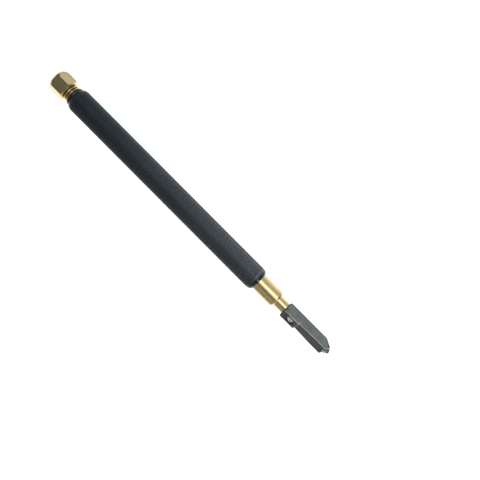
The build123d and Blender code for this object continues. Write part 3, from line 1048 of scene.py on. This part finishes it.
# ---------------------------------------------------------------- head
@dataclass
class CutterHead:
    """The swivelling head: slotted steel block, clamp screw, axle and cutting wheel."""

    steel: bpy.types.Material
    worn_edge_highlight: bpy.types.Material
    plated: bpy.types.Material
    carbide: bpy.types.Material
    pin: bpy.types.Material
    wick: bpy.types.Material
    half_height: float = 2.95 * MM
    back_y: float = 2.65 * MM
    front_y: float = 2.5 * MM
    boss_y: float = 3.2 * MM
    boss_length: float = 8.6 * MM
    runout: float = 0.9 * MM
    back_slope: float = 3.8 * MM
    front_slope: float = 1.4 * MM
    rear_round: float = 0.55 * MM
    apex_rise: float = 0.10 * MM
    apex_back: float = 0.15 * MM
    edge_width: float = 0.16 * MM
    hole_edge: float = 0.05 * MM
    facet_start: float = 0.4 * MM
    facet_length: float = 9.0 * MM
    facet_width: float = 1.7 * MM
    facet_drop: float = 0.6 * MM
    slot_half: float = 0.65 * MM
    slot_room: float = 0.4 * MM
    socket_radius: float = 1.66 * MM
    socket_depth: float = 9.4 * MM
    oil_radius: float = 0.75 * MM
    oil_start: float = 9.0 * MM
    screw_radius: float = 1.9 * MM
    screw_sunk: float = 0.26 * MM
    screw_crown: float = 0.34 * MM
    shank_radius: float = 0.94 * MM
    shank_point: Pair = (0.2 * MM, 0.19 * MM)
    cross_arm: float = 1.45 * MM
    cross_half: float = 0.30 * MM
    cross_depth: float = 1.0 * MM
    seat_gap: float = 0.22 * MM
    seat_depth: float = 0.70 * MM
    shank_hole: float = 1.0 * MM
    wheel_radius: float = 2.45 * MM
    wheel_half: float = 0.6 * MM
    wheel_bevel: float = 0.75 * MM
    wheel_edge: float = 0.05 * MM
    wheel_dish: float = 0.10 * MM
    hub_radius: float = 1.0 * MM
    hub_slope: float = 0.08 * MM
    axle_radius: float = 0.45 * MM
    axle_play: float = 0.06 * MM
    pin_sunk: float = 0.05 * MM
    pin_edge: float = 0.12 * MM

    def build(self) -> None:
        """Builds the head's pieces and dresses them."""
        low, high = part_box("head_body")
        axle = middle_of("wheel_axle")
        screw = middle_of("clamp_screw")
        self._block(low[0], high[0], axle, screw)
        self._screw(screw)
        self._wheel(axle)
        self._pin(axle)
        dress("head_wick", self.wick)

    def _block(self, rear: float, apex: float, axle: Vector, screw: Vector) -> None:
        """Mills the head's block.

        Args:
            rear: The station of its rear face.
            apex: The station of its point.
            axle: The axle's middle.
            screw: The screw's middle.
        """
        bm = bmesh.new()
        boss_end = rear + self.boss_length
        outline = [(rear, self.back_y), (apex - self.back_slope, self.back_y),
                   (apex - self.apex_back, self.apex_rise), (apex, -self.apex_rise),
                   (apex - self.front_slope, -self.front_y), (boss_end + self.runout, -self.front_y)]
        rise = self.boss_y - self.front_y
        outline += [(boss_end + self.runout * (1.0 - sine), -self.front_y - rise * (1.0 - cosine))
                    for sine, cosine in quarter(6)]
        outline.append((rear, -self.boss_y))
        face = bm.faces.new([bm.verts.new((x, y, -self.half_height)) for x, y in outline])
        raised = bmesh.ops.extrude_face_region(bm, geom=[face])["geom"]
        top = [part for part in raised if isinstance(part, bmesh.types.BMVert)]
        bmesh.ops.translate(bm, verts=top, vec=(0.0, 0.0, 2.0 * self.half_height))
        ends = [edge for edge in bm.edges if all(abs(vert.co.x - rear) < HAIR for vert in edge.verts)]
        bmesh.ops.bevel(bm, geom=ends, offset=self.rear_round, segments=5, profile=0.5, affect="EDGES",
                        material=-1)
        piece = as_object(bm, "head_block")
        for side in (-1.0, 1.0):
            carve(piece, self._facet(boss_end + self.facet_start, side), Carve.CUT_AWAY)
        piece.data.materials.append(self.steel)
        piece.data.materials.append(self.worn_edge_highlight)
        # The roundings take the light edge finish: edge wear and a painted highlight along the head's edges.
        soften(piece, self.edge_width, segments=3, angle=30.0, edge_slot=1, clamp=False)
        bake(piece)
        for tool in self._cutters(rear, axle, screw):
            carve(piece, tool, Carve.CUT_AWAY)
        soften(piece, self.hole_edge, segments=2, angle=50.0)
        settle(piece, Body.HEAD, "gunmetal", None, "head_body")

    def _cutters(self, rear: float, axle: Vector, screw: Vector) -> list[bmesh.types.BMesh]:
        """Solids that are cut out of the block.

        Args:
            rear: The station of its rear face.
            axle: The axle's middle.
            screw: The screw's middle.

        Returns:
            The solids.
        """
        slot, past = self.wheel_radius + self.slot_room, 1.0 * MM
        reach, pin_hole = self.half_height + past, self.axle_radius + self.axle_play / 2.0
        mouth = bmesh.new()
        add_block(mouth, (axle.x, axle.y - 1.2 * slot, -self.slot_half),
                  (axle.x + 2.0 * slot, axle.y + 1.2 * slot, self.slot_half))
        rods = [((axle.x, axle.y, -self.slot_half), (axle.x, axle.y, self.slot_half), slot, 96),
                ((rear - past, 0, 0), (rear + self.socket_depth, 0, 0), self.socket_radius, 48),
                ((rear + self.oil_start, 0, 0), (axle.x, 0, 0), self.oil_radius, 48),
                ((screw.x, -self.boss_y - past, 0), (screw.x, self.seat_depth - self.boss_y, 0),
                 self.screw_radius + self.seat_gap, 64),
                ((screw.x, -self.boss_y, 0), (screw.x, 0, 0), self.shank_hole, 48),
                ((axle.x, axle.y, -reach), (axle.x, axle.y, reach), pin_hole, 48)]
        solids = [bmesh.new() for _ in rods]
        for solid, rod in zip(solids, rods):
            add_rod(solid, *rod)
        return [solids[0], mouth, *solids[1:]]

    def _facet(self, start: float, side: float) -> bmesh.types.BMesh:
        """Wedge that slopes the edge beside the boss and runs out towards the tip.

        Args:
            start: The station where the slope is widest.
            side: 1 for the upper face, -1 for the lower.

        Returns:
            The wedge.
        """
        high = side * self.half_height
        inner = Vector((start, self.facet_width - self.front_y, high))
        outer = Vector((start, -self.front_y, high - side * self.facet_drop))
        end = Vector((start + self.facet_length, -self.front_y, high))
        along = (end - inner).normalized()
        normal = (outer - inner).cross(end - inner).normalized()
        normal *= math.copysign(1.0, normal.z * side)
        depth = 1.0 * MM
        place = Matrix.Translation((inner + end) / 2.0 + normal * depth / 2.0)
        size = Matrix.Diagonal(((end - inner).length, 4.0 * self.facet_width, depth, 1.0))
        bm = bmesh.new()
        bmesh.ops.create_cube(bm, size=1.0, matrix=place @ axes(along, normal.cross(along), normal) @ size)
        return bm

    def _screw(self, middle: Vector) -> None:
        """Builds the clamp screw with its crossed slots.

        Args:
            middle: The middle of the screw's box.
        """
        (_, outer, _), (_, point, _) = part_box("clamp_screw")
        top, seat = outer + self.screw_sunk, self.seat_depth - self.boss_y
        outline = [(point, 0.0), (point, self.shank_radius - self.shank_point[1]),
                   (point - self.shank_point[0], self.shank_radius), (seat, self.shank_radius),
                   (seat, self.screw_radius), (top + self.screw_crown, self.screw_radius)]
        outline += [(top + self.screw_crown * (1.0 - sine), self.screw_radius * cosine)
                    for sine, cosine in quarter(6)]
        bm = bmesh.new()
        lathe(bm, outline, steps=64, closed=False)
        turn = Matrix.Rotation(math.pi / 2.0, 4, "Z")
        bmesh.ops.transform(bm, matrix=Matrix.Translation((middle.x, 0, 0)) @ turn, verts=bm.verts)
        piece = as_object(bm, "slotted_screw")
        arm, half = self.cross_arm, self.cross_half
        for width, length in ((arm, half), (half, arm)):
            slot = bmesh.new()
            add_block(slot, (middle.x - width, top - self.cross_depth, -length),
                      (middle.x + width, top + self.screw_crown, length))
            carve(piece, slot, Carve.CUT_AWAY)
        soften(piece, width=0.05 * MM, segments=2, angle=35.0)
        settle(piece, Body.SCREW, "plated_screw", self.plated, "clamp_screw")

    def _wheel(self, axle: Vector) -> None:
        """Grinds the cutting wheel.

        Args:
            axle: The axle's middle.
        """
        rim = self.wheel_radius - self.wheel_bevel
        dished = self.wheel_half - self.wheel_dish
        side = [(self.wheel_edge, self.wheel_radius), (self.wheel_half, rim), (dished, rim - self.wheel_dish),
                (dished, self.hub_radius + self.hub_slope), (self.wheel_half, self.hub_radius),
                (self.wheel_half, self.axle_radius + self.axle_play)]
        outline = [(-place, radius) for place, radius in reversed(side)] + side
        bm = bmesh.new()
        lathe(bm, outline, steps=120, axis=(0.0, 0.0, 1.0), centre=(axle.x, axle.y, 0.0))
        piece = as_object(bm, "ground_wheel")
        soften(piece, width=0.02 * MM, segments=2, angle=30.0)
        settle(piece, Body.WHEEL, "carbide", self.carbide, "cutting_wheel")

    def _pin(self, axle: Vector) -> None:
        """Builds the axle pin with its rounded ends.

        Args:
            axle: The axle's middle.
        """
        half, edge = self.half_height - self.pin_sunk, self.pin_edge
        outline = [(-half, 0.0), (-half, self.axle_radius - edge), (-half + edge, self.axle_radius),
                   (half - edge, self.axle_radius), (half, self.axle_radius - edge), (half, 0.0)]
        bm = bmesh.new()
        lathe(bm, outline, steps=40, axis=(0.0, 0.0, 1.0), centre=(axle.x, axle.y, 0.0), closed=False)
        piece = as_object(bm, "axle_pin")
        soften(piece, width=0.03 * MM, segments=2, angle=30.0)
        settle(piece, Body.HEAD, "dark_steel", self.pin, "wheel_axle")


# ---------------------------------------------------------------- studio
@dataclass
class Studio:
    """Pale floor, soft lights and the camera.

    Lamps and the card are placed round the tool's axis, by an angle from the camera's direction
    towards the back.
    """

    floor_drop: float = 42.0 * MM
    floor_half: float = 3.0
    elevation: float = 53.13
    distance: float = 290.0 * MM
    lens: float = 47.96
    sensor_width: float = 36.0
    clip: Pair = (5.0 * MM, 20000.0 * MM)
    aim_along: float = 23.0 * MM
    aim_across: float = 7.2 * MM
    roll: float = 45.11
    tent: tuple[Pair, ...] = ((-120.0, 0.45), (-60.0, 0.34), (-38.0, 0.30), (-30.0, 0.05), (-14.0, 0.05),
                              (-3.0, 0.85), (28.0, 0.85), (42.0, 0.42), (82.0, 0.52), (95.0, 0.98),
                              (127.0, 1.05))
    tent_tint: Triple = (0.97, 0.99, 1.0)
    end_glow: float = 0.18
    backdrop_glow: float = 1.1
    rear_fade: Pair = (-0.75, -0.05)
    front_fade: Pair = (0.35, 0.80)
    backdrop_colour: Triple = (1.0, 1.0, 1.0)
    card_angle: float = -82.0
    card_distance: float = 38.0 * MM
    card_half: Pair = (250.0 * MM, 22.0 * MM)
    card_colour: Triple = (0.185, 0.165, 0.145)
    key_angle: float = 15.0
    key_place: Pair = (200.0 * MM, 600.0 * MM)
    key_size: Pair = (400.0 * MM, 240.0 * MM)
    key_watts: float = 0.55
    spark_place: Pair = (360.0 * MM, 200.0 * MM)
    spark_size: float = 50.0 * MM
    spark_watts: float = 0.14
    sun_angle: float = 72.0
    sun_strength: float = 3.6
    sun_spread: float = 60.0

    def build(self) -> None:
        """Sets up the floor, the lights, the world and the camera."""
        self._floor()
        self._card()
        self._world()
        self._lights()
        self._camera()
        bpy.context.scene.view_settings.view_transform = "Standard"

    def _directions(self) -> tuple[Vector, Vector, Vector]:
        """Directions along the tool, across the picture and towards the camera."""
        tilt = math.radians(self.elevation)
        along = Vector((1.0, 0.0, 0.0))
        towards = Vector((0.0, -math.cos(tilt), math.sin(tilt)))
        return along, towards.cross(along), towards

    def _around(self, degrees: float) -> Vector:
        """Direction away from the tool's axis, by an angle from the camera's direction."""
        _, across, towards = self._directions()
        return towards * math.cos(math.radians(degrees)) + across * math.sin(math.radians(degrees))

    @staticmethod
    def _hang(data: Union[bpy.types.Light, bpy.types.Camera], place: Matrix) -> bpy.types.Object:
        """Puts a lamp or the camera in its place.

        Args:
            data: The lamp's or camera's data, whose name the object takes.
            place: Its place and turn.

        Returns:
            The object.
        """
        item = bpy.data.objects.new(data.name, data)
        item.matrix_world = place
        bpy.context.scene.collection.objects.link(item)
        return item

    def _floor(self) -> None:
        """Lays the floor."""
        bm = bmesh.new()
        bmesh.ops.create_grid(bm, x_segments=2, y_segments=2, size=self.floor_half,
                              matrix=Matrix.Translation((0, 0, -self.floor_drop)))
        floor = as_object(bm, "floor")
        floor.data.materials.append(PaleFloor().make())

    def _card(self) -> None:
        """Hangs a dark card that the camera doesn't see, for the lower front of the metal to mirror."""
        along, out = self._directions()[0], self._around(self.card_angle)
        place = Matrix.Translation(out * self.card_distance) @ axes(along, out.cross(along), out)
        bm = bmesh.new()
        bmesh.ops.create_grid(bm, x_segments=1, y_segments=1, size=1.0,
                              matrix=place @ Matrix.Diagonal((*self.card_half, 1.0, 1.0)))
        card = as_object(bm, "dark_card")
        sheet = NodeSheet("dark_card")
        card.data.materials.append(sheet.finish({"Base Color": (*self.card_colour, 1.0), "Roughness": 1.0}))
        card.visible_camera = False
        card.visible_shadow = False

    def _world(self) -> None:
        """Surrounds the tool with a soft tent whose brightness changes round the tool's axis."""
        world = bpy.data.worlds.new("studio")
        bpy.context.scene.world = world
        sheet = NodeSheet(world)
        _, across, towards = self._directions()
        way = sheet.add("ShaderNodeTexCoord", output="Generated")
        rise, ahead = (
            sheet.add("ShaderNodeVectorMath", {"operation": "DOT_PRODUCT"}, {0: way, 1: tuple(side)}, "Value")
            for side in (across, towards)
        )
        angle = sheet.add("ShaderNodeMath", {"operation": "ARCTAN2"}, {0: rise, 1: ahead})
        stops = [(0.5 + degrees / 360.0, tuple(level * part for part in self.tent_tint))
                 for degrees, level in self.tent]
        glow = sheet.add("ShaderNodeValToRGB", {"stops": stops}, {"Fac": angle / (2.0 * math.pi) + 0.5})
        along = sheet.add("ShaderNodeSeparateXYZ", {}, {"Vector": way}, "X")
        fade = self.end_glow + (1.0 - self.end_glow) * along.ramp(*self.rear_fade)
        fade = fade * (1.0 - (1.0 - self.end_glow) * along.ramp(*self.front_fade))
        seen = sheet.add("ShaderNodeLightPath", output="Is Camera Ray")
        strength = fade * (1.0 - seen) + self.backdrop_glow * seen
        shade = sheet.blend(seen, glow, self.backdrop_colour)
        backdrop = sheet.add("ShaderNodeBackground", {}, {"Color": shade, "Strength": strength})
        sheet.add("ShaderNodeOutputWorld", {}, {"Surface": backdrop})

    def _lights(self) -> None:
        """Hangs the strip that the metal mirrors, a spark for glints and a sun that lights matt things."""
        along, _, towards = self._directions()
        out = self._around(self.key_angle)
        station, distance = self.key_place
        key = bpy.data.lights.new("key", "AREA")
        key.shape = "RECTANGLE"
        key.size, key.size_y = self.key_size
        key.energy = self.key_watts
        place = Matrix.Translation(along * station + out * distance)
        self._hang(key, place @ axes(along, out.cross(along), out))
        station, distance = self.spark_place
        spark = bpy.data.lights.new("spark", "AREA")
        spark.shape = "DISK"
        spark.size = self.spark_size
        spark.energy = self.spark_watts
        out = along * station + towards * distance
        self._hang(spark, Matrix.Translation(out) @ out.to_track_quat("Z", "Y").to_matrix().to_4x4())
        sun = bpy.data.lights.new("sun", "SUN")
        sun.energy = self.sun_strength
        sun.angle = math.radians(self.sun_spread)
        out = self._around(self.sun_angle)
        self._hang(sun, out.to_track_quat("Z", "Y").to_matrix().to_4x4()).visible_glossy = False

    def _camera(self) -> None:
        """Places the camera."""
        along, across, towards = self._directions()
        roll = math.radians(self.roll)
        right = along * math.cos(roll) + across * math.sin(roll)
        upward = across * math.cos(roll) - along * math.sin(roll)
        aim = along * self.aim_along + across * self.aim_across
        data = bpy.data.cameras.new("camera")
        data.lens = self.lens
        data.sensor_width = self.sensor_width
        data.clip_start, data.clip_end = self.clip
        place = Matrix.Translation(aim + towards * self.distance) @ axes(right, upward, towards)
        bpy.context.scene.camera = self._hang(data, place)


def main() -> None:
    """Builds the tool and the studio in order."""
    logging.basicConfig(level=logging.INFO, format="%(name)s %(message)s")
    brass = TurnedBrass().make()
    rubber = SealRubber().make()
    spring_wire = BrightMetal("spring_wire", (0.55, 0.55, 0.56), (0.40, 0.40, 0.41), 0.25).make()
    plated = BrightMetal("plated_screw", (0.82, 0.83, 0.84), (0.66, 0.67, 0.68), 0.14).make()
    carbide = BrightMetal("ground_carbide", (0.34, 0.39, 0.39), (0.22, 0.26, 0.26), 0.24).make()
    pin = BrightMetal("dark_pin", (0.03, 0.03, 0.03), (0.02, 0.02, 0.02), 0.35).make()
    # Light finish for the head's rounded edges: edge wear and a painted highlight.
    worn_edge_highlight = BrightMetal("worn_edge_highlight", (0.62, 0.65, 0.64), (0.42, 0.45, 0.44), 0.45, 0.3).make()
    Studio().build()
    KnurledBarrel(KnurledBlack().make()).build()
    pale_brass = TurnedBrass("pale_brass", bright=(0.86, 0.72, 0.40), tarnished=(0.66, 0.53, 0.26)).make()
    ScrewCap(pale_brass, rubber).build()
    NoseAndValve(brass, rubber, spring_wire).build()
    CutterHead(GunMetal().make(), worn_edge_highlight, plated, carbide, pin, CottonWick().make()).build()


if __name__ == "__main__":
    main()
